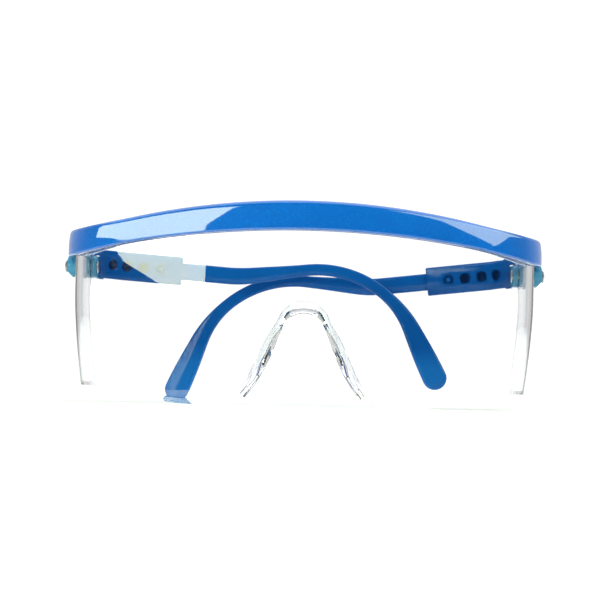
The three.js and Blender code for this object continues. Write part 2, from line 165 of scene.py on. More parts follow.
def soften(obj, width, segments=3, angle=35):
    """Rounds the sharp edges and shades the piece smoothly."""
    tidy(obj)
    bevel = obj.modifiers.new("soften", "BEVEL")
    bevel.width = width * MM
    bevel.segments = segments
    bevel.limit_method = "ANGLE"
    bevel.angle_limit = math.radians(angle)
    bevel.harden_normals = False
    bevel.use_clamp_overlap = True
    bake(obj)
    return shade(obj)


def shade(obj, angle=38):
    obj.data.shade_smooth()
    obj.data.set_sharp_from_angle(angle=math.radians(angle))
    return obj


def loft(name, sections, matrix=None):
    """Skins a row of matching closed outlines, with a cap at each end."""
    count = len(sections[0])
    verts = [tuple(p) for section in sections for p in section]
    faces = []
    for i in range(len(sections) - 1):
        for j in range(count):
            a, b = i * count + j, i * count + (j + 1) % count
            faces.append((a, b, b + count, a + count))
    last = (len(sections) - 1) * count
    faces.append(tuple(range(count - 1, -1, -1)))
    faces.append(tuple(last + j for j in range(count)))
    return piece(name, verts, faces, matrix)


def prism(name, outline, low, high, matrix=None):
    """An outline in X and Z, drawn out from y=low to y=high."""
    return loft(name, [[(x, y, z) for x, z in outline] for y in (low, high)], matrix)


def block(name, x, y, z, matrix=None):
    outline = [(x[0], z[0]), (x[1], z[0]), (x[1], z[1]), (x[0], z[1])]
    return prism(name, outline, y[0], y[1], matrix)


def rod(name, start, end, radius, matrix=None, sides=48):
    """A round rod between two points."""
    start, end = Vector(start), Vector(end)
    turn = (end - start).to_track_quat("Z", "X").to_matrix()
    rings = []
    for centre in (start, end):
        ring = []
        for i in range(sides):
            a = 2 * math.pi * i / sides
            ring.append(centre + turn @ Vector((radius * math.cos(a), radius * math.sin(a), 0)))
        rings.append(ring)
    return loft(name, rings, matrix)


def rounded_outline(width, height, radius, steps=6):
    """Corner-rounded rectangle, as (across, up) points."""
    points = []
    for quarter in range(4):
        sx = 1 if quarter in (0, 3) else -1
        sz = 1 if quarter in (0, 1) else -1
        for i in range(steps + 1):
            a = math.pi / 2 * (quarter + i / steps)
            points.append((
                sx * (width / 2 - radius) + radius * math.cos(a),
                sz * (height / 2 - radius) + radius * math.sin(a),
            ))
    return points


# ---------- plan of the lens and the bar ----------
WRAP_RUNS = [(56.3, 10.8), (21.6, 72.7), (19, 0), (3, 6.5), (14, 0)]


def plan(along):
    """(x, depth behind the front, heading) at a signed distance along the lens's outer face."""
    side = -1 if along < 0 else 1
    left = abs(along)
    x = y = heading = 0.0
    for length, turn in WRAP_RUNS:
        step = min(left, length)
        rate = math.radians(turn) / length
        if rate:
            after = heading + rate * step
            x += (math.sin(after) - math.sin(heading)) / rate
            y += (math.cos(heading) - math.cos(after)) / rate
            heading = after
        else:
            x += step * math.cos(heading)
            y += step * math.sin(heading)
        left -= step
        if left <= 0:
            break
    return side * x, y, side * heading


def off_plan(along, out, z):
    x, y, heading = plan(along)
    return Vector((x + math.sin(heading) * out, FRONT_Y + y - math.cos(heading) * out, z))


EAR_OUT = plan(112)[0]
EAR_IN = EAR_OUT - LENS_THICKNESS


def brow_height(along, middle, end, share, ease):
    along = abs(along)
    sag = (end - middle) * share
    if along <= BAR_ARCH:
        return middle + sag * (along / BAR_ARCH) ** 2
    t = min((along - BAR_ARCH) / ease, 1)
    slope = 2 * sag / BAR_ARCH * ease
    arch = (2 * t**3 - 3 * t**2 + 1) * (middle + sag) + (t**3 - 2 * t**2 + t) * slope
    return arch + (3 * t**2 - 2 * t**3) * end


def bar_top(along):
    return brow_height(along, BAR_TOP, BAR_END_TOP, 0.594, 25)


def bar_bottom(along):
    return brow_height(along, BAR_BOTTOM, BAR_END_BOTTOM, 0.5, 24)


# ---------- lens ----------
NOSE_POINTS = [(-4.4, 25.8), (0, NOSE_TOP), (4.4, 25.8), (6.9, 21.5), (9.6, 14.5), (13.2, 7.4), (17, 2.2)]


def nose_curve(steps):
    """Half of the nose opening from its crown to its foot, as (x, z, normal, share)."""
    ctrl = [Vector(p) for p in NOSE_POINTS]
    ctrl.append(ctrl[-1] * 2 - ctrl[-2])
    dense = []
    for i in range(1, len(ctrl) - 2):
        a, b, c, d = ctrl[i - 1 : i + 3]
        for k in range(40):
            t = k / 40
            dense.append(0.5 * (
                2 * b + (c - a) * t + (2 * a - 5 * b + 4 * c - d) * t**2 + (3 * b - a - 3 * c + d) * t**3
            ))
    dense.append(ctrl[-2])
    runs = np.cumsum([0] + [(q - p).length for p, q in zip(dense, dense[1:])])
    shares = np.linspace(0, 1, steps + 1)
    xs = np.interp(shares * runs[-1], runs, [p.x for p in dense])
    zs = np.interp(shares * runs[-1], runs, [p.y for p in dense])
    tangents = np.gradient(np.stack([xs, zs], 1), axis=0)
    tangents[0] = (1, 0)
    tangents /= np.linalg.norm(tangents, axis=1)[:, None]
    return [(x, z, (-t[1], t[0]), s) for x, z, t, s in zip(xs, zs, tangents, shares)]


def shield_rear(z):
    """How far back the side shield reaches at a height: a round ear over a slightly raked edge."""
    ear = CHEEK_RADIUS + GAP
    if z > PIVOT_Z + ear:
        return BAR_DEPTH - GAP
    if z > PIVOT_Z - ear:
        return PIVOT_DEPTH + math.sqrt(max(ear**2 - (z - PIVOT_Z) ** 2, 0))
    if z > 35:
        return 46.2 + 1.8 * ((z - 35) / (PIVOT_Z - ear - 35)) ** 3
    if z > 16:
        return 45 + 1.2 * (z - 16) / 19
    t = min(max((16 - z) / 13, 0), 1)
    return 45 - 9 * t**2.6


def along_at_depth(depth):
    low, high = 78.0, 112.0
    for _ in range(40):
        middle = (low + high) / 2
        if plan(middle)[1] < depth:
            low = middle
        else:
            high = middle
    return low


def lens_row_shares():
    """Heights of the grid's rows, closer together at the ear."""
    fine = np.arange(37.6, 46.2, 0.3)
    coarse_low = np.linspace(SIDE_BOTTOM, 37.6, 24)[:-1]
    coarse_high = np.linspace(46.2, BAR_END_BOTTOM + LENS_RISE, 4)
    heights = np.concatenate([coarse_low, fine, coarse_high])
    heights = np.unique(np.round(heights, 4))
    return (heights - heights[0]) / (heights[-1] - heights[0])


def lens_columns():
    nose = nose_curve(60)
    edge = [(x + n[0] * NOSE_WALL / 2, z + n[1] * NOSE_WALL / 2) for x, z, n, _ in nose]
    edge_x = [p[0] for p in edge]
    edge_z = [p[1] for p in edge]
    foot = edge_x[-1]
    front = list(np.arange(0, foot, 0.6)) + list(np.arange(foot, foot + 6, 0.6))
    front += list(np.arange(foot + 6.4, 56, 1.6))
    front += list(np.linspace(56.3, 79, 26))
    side_share = list(np.linspace(0, 1, 20))[1:]
    columns = []
    for a in front:
        if a <= foot:
            bottom = float(np.interp(a, edge_x, edge_z))
        else:
            rise = SIDE_BOTTOM * smooth(a, FOOT_SPAN, 68)
            bottom = float(rise + edge_z[-1] * (1 - smooth(a, foot - 0.8, foot + 5)))
        columns.append((a, None, bottom))
    for share in side_share:
        columns.append((79, share, SIDE_BOTTOM))
    mirrored = [(-a, s, b) for a, s, b in columns[:0:-1]]
    return mirrored + columns


def lens_point(along, out, z):
    point = off_plan(along, out, z)
    drop = min(max((LEAN_START - z) / LEAN_START, 0), 1)
    side = -1 if along < 0 else 1
    point.x -= side * SHIELD_LEAN * drop**1.5 * float(smooth(abs(along), 48, 80))
    return point


def lens_panel():
    rows = lens_row_shares()
    columns = lens_columns()
    faces = []
    verts = []
    for out in (0, -LENS_THICKNESS):
        for along, share, bottom in columns:
            side = -1 if along < 0 else 1
            for r in rows:
                top = bar_bottom(along) + LENS_RISE
                z = bottom + (top - bottom) * r
                place = along
                if share is not None:
                    place = side * (79 + share * (along_at_depth(shield_rear(z)) - 79))
                verts.append(lens_point(place, out, z))
    nr, nc = len(rows), len(columns)
    back = nr * nc
    for c in range(nc - 1):
        for r in range(nr - 1):
            a = c * nr + r
            faces.append((a, a + nr, a + nr + 1, a + 1))
            faces.append((back + a, back + a + 1, back + a + nr + 1, back + a + nr))
        for r in (0, nr - 1):
            a = c * nr + r
            edge = (a, back + a, back + a + nr, a + nr)
            faces.append(edge if r == 0 else (edge[0], edge[3], edge[2], edge[1]))
    for c in (0, nc - 1):
        for r in range(nr - 1):
            a = c * nr + r
            faces.append((a, a + 1, back + a + 1, back + a))
    return piece("clear_lens", verts, faces)


def nose_piece():
    """The wall round the nose opening, with a rolled rim and wider pads."""
    half = nose_curve(48)
    stations = [(-x, z, (-n[0], n[1]), s) for x, z, n, s in half[:0:-1]] + half
    sections = []
    for x, z, normal, share in stations:
        pad = float(smooth(share, 0.2, 0.5))
        flare = 2.6 - 1.6 * float(smooth(share, 0.02, 0.25)) + 1.3 * pad - 0.8 * float(smooth(share, 0.6, 1))
        depth = 5.7 + 1.7 * pad - 5 * float(smooth(share, 0.48, 1))
        inner = [(0, 0.25), (flare * 0.12, 0.25 + depth * 0.25), (flare * 0.35, 0.25 + depth * 0.5),
                 (flare * 0.65, 0.25 + depth * 0.75), (flare * 0.95, 0.25 + depth * 0.95)]
        rim = [
            (flare + 0.25, 0.5 + depth),
            (flare + NOSE_WALL * 0.5, 0.65 + depth),
            (flare + NOSE_WALL - 0.2, 0.5 + depth),
        ]
        outer = [(o + NOSE_WALL, y) for o, y in inner[::-1]]
        section = []
        for out, y in inner + rim + outer:
            section.append((x + normal[0] * out, FRONT_Y + y, z + normal[1] * out))
        sections.append(section)
    return loft("nose_piece", sections)


def build_lens():
    lens = combine(lens_panel(), nose_piece(), "UNION")
    return soften(lens, 0.8, 4, 50)


# ---------- brow bar ----------
def bar_face(height, steps=16):
    """The front face's (bulge, share of height): upright near its foot, leaning back towards the top."""
    shares = [i / steps for i in range(steps + 1)]
    leans = [-0.7 + 1.7 * t if t < 0.3 else -0.2 + 9 * (t - 0.3) / 0.7 for t in shares]
    bulge = [0.0]
    for a, b in zip(leans, leans[1:]):
        bulge.append(bulge[-1] - math.tan(math.radians((a + b) / 2)) * height / steps)
    top = max(bulge)
    return [(b - top, t) for b, t in zip(bulge, shares)]


def bar_section(along, shrink=0.0):
    front = GAP + BAR_WALL
    back = -LENS_THICKNESS - GAP - BAR_WALL
    top = bar_top(along) - shrink
    relief = BAR_RELIEF * float(smooth(plan(along)[1], 40, 43.4))
    bottom = bar_bottom(along) + relief + shrink * 0.6
    roof = bar_bottom(along) + LENS_RISE + GAP
    rise = top - bottom - 1.6
    full = front + BAR_CROWN * 0.97 - shrink
    outline = [(full - 0.28, bottom), (full - 0.1, bottom + 0.08)]
    outline += [(full + bulge, bottom + 0.25 + t * rise) for bulge, t in bar_face(rise)]
    edge = outline[-1][0]
    outline += [(edge - 0.1, top - 0.95), (edge - 0.35, top - 0.5)]
    outline += [(edge - 0.8, top - 0.16), (edge - 1.3, top - 0.02), (edge - 1.9, top)]
    outline += [(back + 1.5, top), (back + 0.7, top - 0.25), (back + 0.2 + shrink, top - 0.75)]
    outline += [(back + shrink, top - 1.5), (back + shrink, bottom + 0.3), (back + 0.3 + shrink, bottom)]
    outline += [(-LENS_THICKNESS - GAP - 0.2, bottom), (-LENS_THICKNESS - GAP, bottom + 0.2)]
    outline += [(-LENS_THICKNESS - GAP, roof), (GAP, roof), (GAP, bottom + 0.2), (GAP + 0.2, bottom)]
    return [off_plan(along, out, z) for out, z in outline]


def build_bar():
    end = along_at_depth(BAR_DEPTH)
    half = list(np.arange(0, end - 0.6, 1.2)) + [end - 0.5]
    stations = [-a for a in half[:0:-1]] + half
    rounding = [(end - 0.25, 0.05), (end - 0.08, 0.15), (end, 0.32)]
    sections = [bar_section(-a, s) for a, s in rounding[::-1]]
    sections += [bar_section(a) for a in stations]
    sections += [bar_section(a, s) for a, s in rounding]
    return shade(loft("blue_brow_bar", sections), 50)


# ---------- hinge and temple frames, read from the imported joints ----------
JOINTS = {j["name"]: j for j in frame["joints"]}


def temple_matrix(side_name):
    """The folded temple's own frame: +X from the pin to the tip, +Z up the pin."""
    fold, length = JOINTS[side_name + "_fold"], JOINTS[side_name + "_length"]
    run = -Vector(length["axis"]).normalized()
    up = Vector(fold["axis"]).normalized()
    if up.z < 0:
        up = -up
    across = up.cross(run)
    matrix = Matrix((run, across, up)).transposed().to_4x4()
    matrix.translation = Vector(fold["pos_m"]) / MM
    return matrix


def hinge_matrix(side):
    """Drawn on the +X side with depths behind the lens's front; mirrored for the other side."""
    return Matrix.Diagonal((side, 1, 1, 1)) @ Matrix.Translation((0, FRONT_Y, 0))


def cheek(name, x, matrix, chamfer, rear):
    """One side of the fork: a rounded nose round the pivot and a straight tail."""
    outline = [(rear, PIVOT_Z + CHEEK_RADIUS)]
    for i in range(25):
        a = math.pi / 2 + math.pi * i / 24
        outline.append((PIVOT_DEPTH + CHEEK_RADIUS * math.cos(a), PIVOT_Z + CHEEK_RADIUS * math.sin(a)))
    outline.append((rear, PIVOT_Z - CHEEK_RADIUS))
    cheek_piece = loft(name, [[(across, y, z) for y, z in outline] for across in x], matrix)
    if chamfer:
        low = PIVOT_Z - CHEEK_RADIUS
        wedge = [(x[1] - 1.7, 30), (x[1] + 2, 30), (x[1] + 2, low + 2.0), (x[1] + 0.01, low + 1.9)]
        wedge.append((x[1] - 1.7, low - 0.01))
        cheek_piece = combine(cheek_piece, prism("wedge", wedge, 30, 70, matrix), "DIFFERENCE")
    return cheek_piece


def build_block(side_name, side):
    matrix = hinge_matrix(side)
    outer = (EAR_OUT + GAP, EAR_OUT + GAP + CHEEK_THICKNESS)
    inner = (EAR_IN - GAP - CHEEK_THICKNESS + 0.2, EAR_IN - GAP)
    rear = PIN_DEPTH - KNUCKLE_RADIUS - 0.4
    front = PIVOT_DEPTH + CHEEK_RADIUS + 3 * GAP
    low, high = PIVOT_Z - CHEEK_RADIUS, PIVOT_Z + CHEEK_RADIUS
    body = cheek(side_name + "_fork", outer, matrix, True, rear)
    body = combine(body, cheek("inner", inner, matrix, False, rear), "UNION")
    web = block("web", (inner[0], outer[1] - 0.01), (front, rear), (low + 1.9, high), matrix)
    body = combine(body, web, "UNION")
    pin_x = EAR_OUT - PIN_INSET
    pin = temple_matrix(side_name)
    knuckle = rod("knuckle", (0, 0, -KNUCKLE_HALF), (0, 0, KNUCKLE_HALF), KNUCKLE_RADIUS, pin)
    body = combine(body, knuckle, "UNION")
    across, tall = (pin_x - 1.9, pin_x + 1.9), (PIN_Z - 1.6, PIN_Z + 1.6)
    bridge = block("bridge", across, (rear - 1, PIN_DEPTH), tall, matrix)
    body = combine(body, bridge, "UNION")
    body = combine(body, rod("bore", (0, 0, -8), (0, 0, 8), PIN_BORE, pin), "DIFFERENCE")
    rivet_bore = rod("bore", (40, PIVOT_DEPTH, PIVOT_Z), (90, PIVOT_DEPTH, PIVOT_Z), RIVET_BORE, matrix)
    body = combine(body, rivet_bore, "DIFFERENCE")
    return soften(body, 0.28, 3, 40)


def build_sleeve(side_name, inner):
    matrix = temple_matrix(side_name)
    outline = rounded_outline(SLEEVE_WIDTH, SLEEVE_HEIGHT, 0.75)
    collar = rounded_outline(SLEEVE_WIDTH, COLLAR_HEIGHT, 0.9)
    mouth = rounded_outline(SLEEVE_WIDTH - 0.5, SLEEVE_HEIGHT - 0.5, 0.6)
    lip = rounded_outline(SLEEVE_WIDTH - 0.2, SLEEVE_HEIGHT - 0.2, 0.7)
    ends = [(SLEEVE_START, outline), (SLEEVE_END - 0.3, outline)]
    ends += [(SLEEVE_END - 0.09, lip), (SLEEVE_END, mouth)]
    body = loft(side_name + "_housing", [[(x, y, z) for y, z in ring] for x, ring in ends], matrix)
    run_out = rounded_outline(SLEEVE_WIDTH - 0.1, SLEEVE_HEIGHT - 0.1, 0.7)
    step = [(SLEEVE_START, collar), (COLLAR_END - 0.25, collar), (COLLAR_END + 0.35, run_out)]
    collar_piece = loft("collar", [[(x, y * 0.998, z) for y, z in ring] for x, ring in step], matrix)
    body = combine(body, collar_piece, "UNION")
    half = COLLAR_HEIGHT / 2
    run, tall = (0.35, SLEEVE_START + 0.4), (-half + 0.02, half - 0.02)
    tongue = block("tongue", run, (-KNUCKLE_RADIUS, KNUCKLE_RADIUS), tall, matrix)
    body = combine(body, tongue, "UNION")
    body = combine(body, rod("eye", (0, 0, -half), (0, 0, half), KNUCKLE_RADIUS, matrix), "UNION")
    slot = KNUCKLE_HALF + GAP
    body = combine(body, block("slot", (-6, 2.3), (-9, 9), (-slot, slot), matrix), "DIFFERENCE")
    hollow = rod("hollow", (0, 0, -slot), (0, 0, slot), KNUCKLE_RADIUS + GAP, matrix)
    body = combine(body, hollow, "DIFFERENCE")
    body = combine(body, rod("bore", (0, 0, -9), (0, 0, 9), PIN_BORE, matrix), "DIFFERENCE")
    channel = block("channel", (CHANNEL_START, 50), (-1.5, 1.5), (-3, 3), matrix)
    body = combine(body, channel, "DIFFERENCE")
    depths, tall = sorted((inner * 0.5, inner * 2)), (-STOP_RADIUS + 0.1, STOP_RADIUS - 0.1)
    groove = block("groove", (CHANNEL_START, 50), depths, tall, matrix)
    body = combine(body, groove, "DIFFERENCE")
    for stop in STOPS:
        hole = rod("stop", (stop, inner * 1.2, 0), (stop, inner * 6, 0), STOP_RADIUS, matrix)
        body = combine(body, hole, "DIFFERENCE")
    return soften(body, 0.16, 2, 42)


def arm_line():
    """Stations (x, z, heading, distance, tip) down the middle of the arm."""
    line = [(ARM_TAIL, 0.0, 0.0, ARM_TAIL, 1.0)]

    def run(length, turn, steps):
        for _ in range(steps):
            x, z, heading, along, _tip = line[-1]
            stride = length / steps
            middle = heading + math.radians(turn) / steps / 2
            line.append((
                x + stride * math.cos(middle), z + stride * math.sin(middle),
                heading + math.radians(turn) / steps, along + stride, 1.0,
            ))

    run(ARM_STRAIGHT - 4 - ARM_TAIL, 0, 6)
    run(8, ARM_LIFT, 8)
    run(ARM_LIFT_LENGTH - 4, 0, 8)
    run(ARM_BEND_RADIUS * math.radians(ARM_LIFT + ARM_DROP), -(ARM_LIFT + ARM_DROP), 40)
    run(ARM_TIP - PADDLE / 2, 0, 10)
    x, z, heading, along, _tip = line[-1]
    for i in range(1, 13):
        s = math.sin(math.pi / 2 * i / 12)
        reach = PADDLE / 2 * s * 0.985
        tip = math.sqrt(max(1 - s * s * 0.97, 0))
        ahead, down = reach * math.cos(heading), reach * math.sin(heading)
        line.append((x + ahead, z + down, heading, along + reach, tip))
    return line


def arm_height(along):
    slim = (ARM_HEIGHT - ARM_WAIST) * smooth(along, ARM_STRAIGHT - 2, 72)
    return ARM_HEIGHT - slim + (PADDLE - ARM_WAIST) * smooth(along, 96, 128)


def build_arm(side_name, inner):
    matrix = temple_matrix(side_name)
    sections = []
    for x, z, heading, along, tip in arm_line():
        half = float(arm_height(along)) / 2 * tip
        width = ARM_WIDTH / 2 * (0.45 + 0.55 * tip)
        radius = min(0.65 * width, half * 0.6)
        inward = 0 if x < ARM_STRAIGHT else (x - ARM_STRAIGHT) ** 2 / (2 * ARM_CURVE)
        ring = rounded_outline(2 * width, 2 * half, radius, 5)
        sections.append([
            (x - up * math.sin(heading), inner * (across + inward), z + up * math.cos(heading))
            for across, up in ring
        ])
    blade = loft(side_name + "_ear_arm", sections, matrix)
    nub = []
    for i in range(9):
        a = math.pi / 2 * i / 8
        ring_radius = max(1.15 * math.cos(a), 0.03)
        reach = inner * (ARM_WIDTH / 2 - 0.2 + 0.95 * math.sin(a))
        nub.append([
            (STOPS[-1] + ring_radius * math.cos(b), reach, ring_radius * math.sin(b)) for b in full_turn(32)
        ])
    blade = combine(blade, loft("nub", nub, matrix), "UNION")
    tidy(blade)
    return shade(blade, 40)


def build_pivot(side_name, side):
    """A rivet turned from wire: domed heads on a plain shank."""
    matrix = hinge_matrix(side)
    inside = EAR_IN - 2 * GAP - CHEEK_THICKNESS + 0.2
    outside = EAR_OUT + 2 * GAP + CHEEK_THICKNESS
    head = [(0.05, 0.7), (0.9, 0.66), (1.5, 0.5), (1.85, 0.25), (2, 0.05), (1.95, 0)]
    profile = [(radius, inside - dome) for radius, dome in head]
    profile += [(RIVET_RADIUS, inside), (RIVET_RADIUS, outside)]
    profile += [(radius, outside + dome) for radius, dome in head[::-1]]
    rings = []
    for radius, x in profile:
        rings.append([
            (x, PIVOT_DEPTH + radius * math.cos(a), PIVOT_Z + radius * math.sin(a)) for a in full_turn(48)
        ])
    return shade(loft(side_name + "_rivet", rings, matrix), 50)


def build_pin(side_name):
    matrix = temple_matrix(side_name)
    rings = []
    for z, radius in ((-4.5, 0.55), (-4.4, 0.72), (-4.2, 0.8), (4.2, 0.8), (4.4, 0.72), (4.5, 0.55)):
        rings.append([(radius * math.cos(a), radius * math.sin(a), z) for a in full_turn(32)])
    return shade(loft(side_name + "_pin", rings, matrix), 40)


# ---------- materials ----------
def new_material(name):
    material = bpy.data.materials.new(name)
    material.use_nodes = True
    tree = material.node_tree
    return material, tree, tree.nodes["Principled BSDF"]


def noise(tree, scale, detail=3, rough=0.55):
    node = tree.nodes.new("ShaderNodeTexNoise")
    node.inputs["Scale"].default_value = scale
    node.inputs["Detail"].default_value = detail
    node.inputs["Roughness"].default_value = rough
    coords = tree.nodes.new("ShaderNodeTexCoord")
    tree.links.new(coords.outputs["Object"], node.inputs["Vector"])
    return node


def ramp(tree, source, stops):
    node = tree.nodes.new("ShaderNodeValToRGB")
    elements = node.color_ramp.elements
    while len(elements) < len(stops):
        elements.new(0.5)
    for element, (place, colour) in zip(elements, stops):
        element.position = place
        element.color = (*colour, 1)
    tree.links.new(source, node.inputs["Fac"])
    return node


def map_range(tree, source, low, high, start=0.0, end=1.0):
    node = tree.nodes.new("ShaderNodeMapRange")
    node.inputs["From Min"].default_value = start
    node.inputs["From Max"].default_value = end
    node.inputs["To Min"].default_value = low
    node.inputs["To Max"].default_value = high
    tree.links.new(source, node.inputs["Value"])
    return node


def multiply(tree, first, second, factor):
    node = tree.nodes.new("ShaderNodeMix")
    node.data_type = "RGBA"
    node.blend_type = "MULTIPLY"
    node.inputs["Factor"].default_value = factor
    tree.links.new(first, node.inputs[6])
    tree.links.new(second, node.inputs[7])
    return node.outputs[2]


def bump(tree, source, shader, strength, distance):
    node = tree.nodes.new("ShaderNodeBump")
    node.inputs["Strength"].default_value = strength
    node.inputs["Distance"].default_value = distance
    tree.links.new(source, node.inputs["Height"])
    tree.links.new(node.outputs["Normal"], shader.inputs["Normal"])


def moulded_plastic(name, dark, light, roughness=(0.04, 0.08), tip=None):
    """Glossy moulded plastic with faint flow marks; tip, when given, is a painted reflection: a colour
    multiplier that lightens the lowest part as the bright floor reflected in it would.
    """
    material, tree, shader = new_material(name)
    flow = noise(tree, 60, 4)
    colour = ramp(tree, flow.outputs["Fac"], [(0.3, dark), (0.7, light)])
    body = colour.outputs["Color"]
    # Painted reflection: the colour is multiplied by tip fully below 12 mm and fading out by 19 mm,
    # lightening the lowest part as a reflection of the floor would.
    if tip:
        coords = tree.nodes.new("ShaderNodeTexCoord")
        place = tree.nodes.new("ShaderNodeSeparateXYZ")
        tree.links.new(coords.outputs["Object"], place.inputs["Vector"])
        height = map_range(tree, place.outputs["Z"], 0.0, 1.0, 0.012, 0.019)
        tone = ramp(tree, height.outputs["Result"], [(0.0, tip), (1.0, (1.0, 1.0, 1.0))])
        body = multiply(tree, body, tone.outputs["Color"], 1.0)
    tree.links.new(body, shader.inputs["Base Color"])
    haze = map_range(tree, noise(tree, 700, 5).outputs["Fac"], *roughness, 0.3, 0.7)
    tree.links.new(haze.outputs["Result"], shader.inputs["Roughness"])
    bump(tree, noise(tree, 2600, 2).outputs["Fac"], shader, 0.04, 0.00004)
    shader.inputs["IOR"].default_value = 1.46
    shader.inputs["Specular IOR Level"].default_value = 0.28
    return material


def pearl_plastic(name):
    """Blue under a clear gloss, with fine pearl flakes of slightly mixed brightness."""
    material, tree, shader = new_material(name)
    coords = tree.nodes.new("ShaderNodeTexCoord")
    flakes = tree.nodes.new("ShaderNodeTexVoronoi")
    flakes.inputs["Scale"].default_value = 5200
    tree.links.new(coords.outputs["Object"], flakes.inputs["Vector"])
    grey = tree.nodes.new("ShaderNodeSeparateColor")
    tree.links.new(flakes.outputs["Color"], grey.inputs["Color"])
    cloud = noise(tree, 70, 3)
    body = ramp(tree, cloud.outputs["Fac"], [(0.3, (0.001, 0.108, 0.49)), (0.7, (0.0015, 0.126, 0.55))])
    spark = ramp(
        tree,
        grey.outputs["Red"],
        [
            (0.0, (0.80, 0.82, 0.86)),
            (0.8, (1.0, 1.0, 1.0)),
            (0.95, (1.6, 1.35, 1.15)),
            (1.0, (3.0, 1.9, 1.35)),
        ],
    )
    flecked = multiply(tree, body.outputs["Color"], spark.outputs["Color"], 0.8)
    tree.links.new(flecked, shader.inputs["Base Color"])
    metal = map_range(tree, grey.outputs["Green"], 0.0, 0.25)
    tree.links.new(metal.outputs["Result"], shader.inputs["Metallic"])
    haze = map_range(tree, grey.outputs["Blue"], 0.34, 0.5)
    tree.links.new(haze.outputs["Result"], shader.inputs["Roughness"])
    bump(tree, grey.outputs["Green"], shader, 0.05, 0.00003)
    shader.inputs["IOR"].default_value = 1.45
    shader.inputs["Specular IOR Level"].default_value = 0.08
    shader.inputs["Coat Weight"].default_value = 1.0
    shader.inputs["Coat IOR"].default_value = 1.9
    shader.inputs["Coat Roughness"].default_value = 0.03
    return material


def clear_plastic(name):
    """Polished polycarbonate: greyer where it is looked along, a little hazed; painted shade greys its
    underside and, where looked along, its lowest band.
    """
    material, tree, shader = new_material(name)
    smear = map_range(tree, noise(tree, 60, 6, 0.7).outputs["Fac"], 0.0, 0.03, 0.55, 0.8)
    tree.links.new(smear.outputs["Result"], shader.inputs["Roughness"])
    cloud = noise(tree, 25, 2)
    tint = ramp(tree, cloud.outputs["Fac"], [(0.3, (0.985, 0.992, 1.0)), (0.7, (0.996, 0.998, 1.0))])
    weight = tree.nodes.new("ShaderNodeLayerWeight")
    weight.inputs["Blend"].default_value = 0.5
    rim = ramp(
        tree,
        weight.outputs["Facing"],
        [
            (0.55, (1.0, 1.0, 1.0)),
            (0.8, (0.92, 0.95, 0.97)),
            (0.95, (0.81, 0.86, 0.89)),
            (1.0, (0.62, 0.67, 0.76)),
        ],
    )
    body = multiply(tree, tint.outputs["Color"], rim.outputs["Color"], 1.0)
    coords = tree.nodes.new("ShaderNodeTexCoord")
    normal = tree.nodes.new("ShaderNodeSeparateXYZ")
    tree.links.new(coords.outputs["Normal"], normal.inputs["Vector"])
    place = tree.nodes.new("ShaderNodeSeparateXYZ")
    tree.links.new(coords.outputs["Object"], place.inputs["Vector"])
    # Painted shade: faces that point downwards are greyed, standing in for the dark lines the lens's lower
    # edge shows.
    painted_underside_shade = ramp(tree, map_range(tree, normal.outputs["Z"], 1.0, 0.0, -0.9, -0.35).outputs["Result"],
                 [(0.0, (1.0, 1.0, 1.0)), (1.0, (0.60, 0.62, 0.67))])
    # Painted shade: below 16 mm, and fully below 5 mm, the lens is greyed towards blue-grey where looked
    # along, drawing its bottom edge as a dark line.
    foot = map_range(tree, place.outputs["Z"], 1.0, 0.0, 0.005, 0.016)
    steep = map_range(tree, weight.outputs["Facing"], 0.0, 1.0, 0.7, 0.95)
    both = tree.nodes.new("ShaderNodeMath")
    both.operation = "MULTIPLY"
    tree.links.new(foot.outputs["Result"], both.inputs[0])
    tree.links.new(steep.outputs["Result"], both.inputs[1])
    painted_foot_shade = ramp(tree, both.outputs["Value"], [(0.0, (1.0, 1.0, 1.0)), (1.0, (0.70, 0.72, 0.83))])
    body = multiply(tree, body, painted_underside_shade.outputs["Color"], 1.0)
    tree.links.new(multiply(tree, body, painted_foot_shade.outputs["Color"], 1.0), shader.inputs["Base Color"])
    bump(tree, noise(tree, 70, 2).outputs["Fac"], shader, 0.03, 0.0001)
    shader.inputs["Transmission Weight"].default_value = 1.0
    shader.inputs["IOR"].default_value = 1.585
    return material


def turned_steel(name):
    material, tree, shader = new_material(name)
    lines = noise(tree, 1500, 4, 0.7)
    colour = ramp(tree, lines.outputs["Fac"], [(0.3, (0.42, 0.43, 0.45)), (0.7, (0.68, 0.69, 0.70))])
    tree.links.new(colour.outputs["Color"], shader.inputs["Base Color"])
    haze = map_range(tree, lines.outputs["Fac"], 0.18, 0.42)
    tree.links.new(haze.outputs["Result"], shader.inputs["Roughness"])
    shader.inputs["Metallic"].default_value = 1.0
    bump(tree, lines.outputs["Fac"], shader, 0.1, 0.00005)
    return material


def paper_white(name):
    """Matt paper, lit a little from below towards the back so that it meets the backdrop evenly."""
    material, tree, shader = new_material(name)
    fibres = noise(tree, 4, 2)
    tone = ramp(tree, fibres.outputs["Fac"], [(0.3, (0.77, 0.77, 0.77)), (0.7, (0.79, 0.79, 0.79))])
    tree.links.new(tone.outputs["Color"], shader.inputs["Base Color"])
    coords = tree.nodes.new("ShaderNodeTexCoord")
    axes = tree.nodes.new("ShaderNodeSeparateXYZ")
    tree.links.new(coords.outputs["Generated"], axes.inputs["Vector"])
    glow = map_range(tree, axes.outputs["Y"], 0.14, 0.32, 0.34, 0.45)
    tree.links.new(glow.outputs["Result"], shader.inputs["Emission Strength"])
    shader.inputs["Emission Color"].default_value = (1, 1, 1, 1)
    shader.inputs["Roughness"].default_value = 0.9
    shader.inputs["Specular IOR Level"].default_value = 0.1
    return material


def glowing_white(name, strength):
    material, tree, shader = new_material(name)
    shader.inputs["Base Color"].default_value = (0, 0, 0, 1)
    shader.inputs["Emission Color"].default_value = (1, 1, 1, 1)
    shader.inputs["Emission Strength"].default_value = strength
    return material
